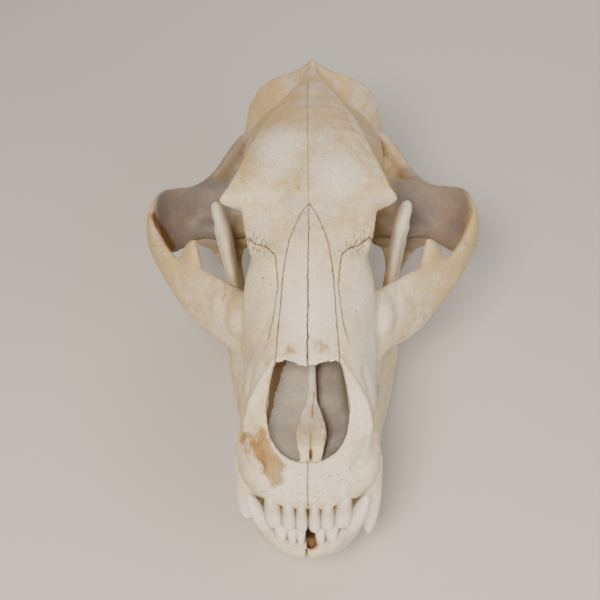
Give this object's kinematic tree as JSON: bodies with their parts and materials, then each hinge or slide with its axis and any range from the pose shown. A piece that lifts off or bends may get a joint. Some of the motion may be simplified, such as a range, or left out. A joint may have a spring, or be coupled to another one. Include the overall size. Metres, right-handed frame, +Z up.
{
  "type": "brown bear skull",
  "caption": "Life-size brown bear skull with its lower jaw closed: long muzzle with open nose, wide cheek arches, crested braincase and worn teeth.",
  "frame": {"origin": "on the table under the middle of the skull's box", "axes": "+Y from the front teeth back to the braincase, +X to the animal's left, +Z up"},
  "size_m": [0.2576, 0.3857, 0.2009],
  "materials": {
    "bone": "dry cleaned bone"
  },
  "bodies": {
    "root": {"cranium": "bone", "muzzle": "bone", "nasal_left": "bone", "nasal_right": "bone", "zygomatic_left": "bone", "zygomatic_right": "bone", "mandible_left": "bone", "mandible_right": "bone"}
  },
  "joints": []
}
